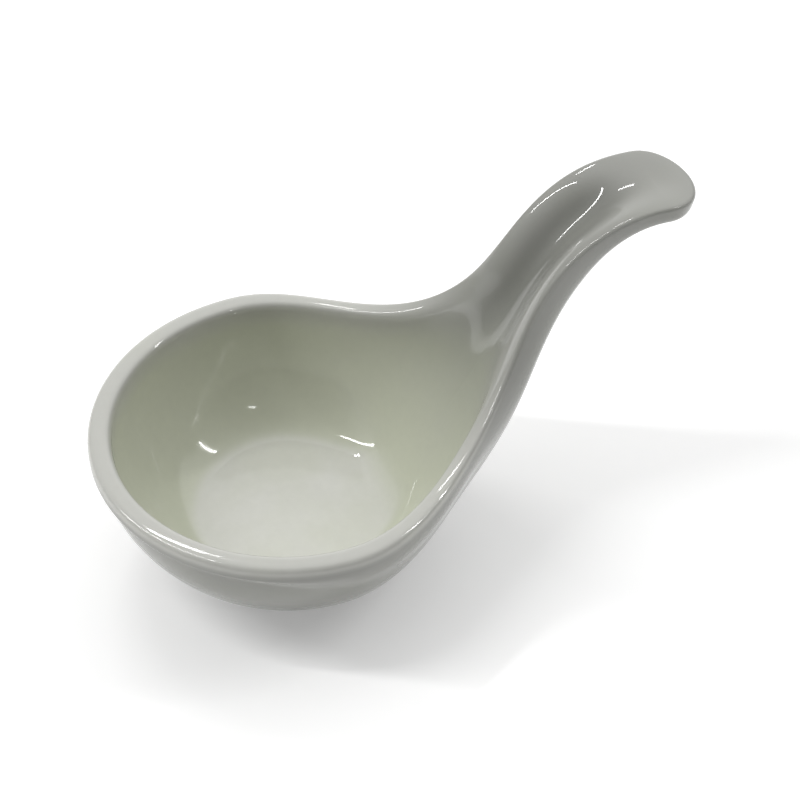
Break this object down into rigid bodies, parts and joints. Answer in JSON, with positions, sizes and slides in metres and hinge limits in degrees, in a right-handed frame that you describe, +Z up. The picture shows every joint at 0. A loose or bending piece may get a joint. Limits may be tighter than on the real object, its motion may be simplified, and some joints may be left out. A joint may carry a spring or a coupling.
{
  "type": "soup spoon",
  "caption": "Glazed porcelain soup spoon: a deep round bowl whose rolled rim sweeps back into a short rising handle that curls over at its tip, on a bare foot ring.",
  "frame": {"origin": "centre of the foot ring, on the table, under the middle of the bowl", "axes": "+Z up, +X from the bowl towards the handle"},
  "size_m": [0.0966, 0.062, 0.056],
  "materials": {
    "clay": "fired porcelain under the glaze",
    "bare_foot": "unglazed, matt",
    "glaze": "gloss, off-white"
  },
  "bodies": {
    "root": {"porcelain_body": "clay", "foot_ring": "bare_foot", "glaze_coat": "glaze", "well_glaze": "glaze"}
  },
  "joints": []
}
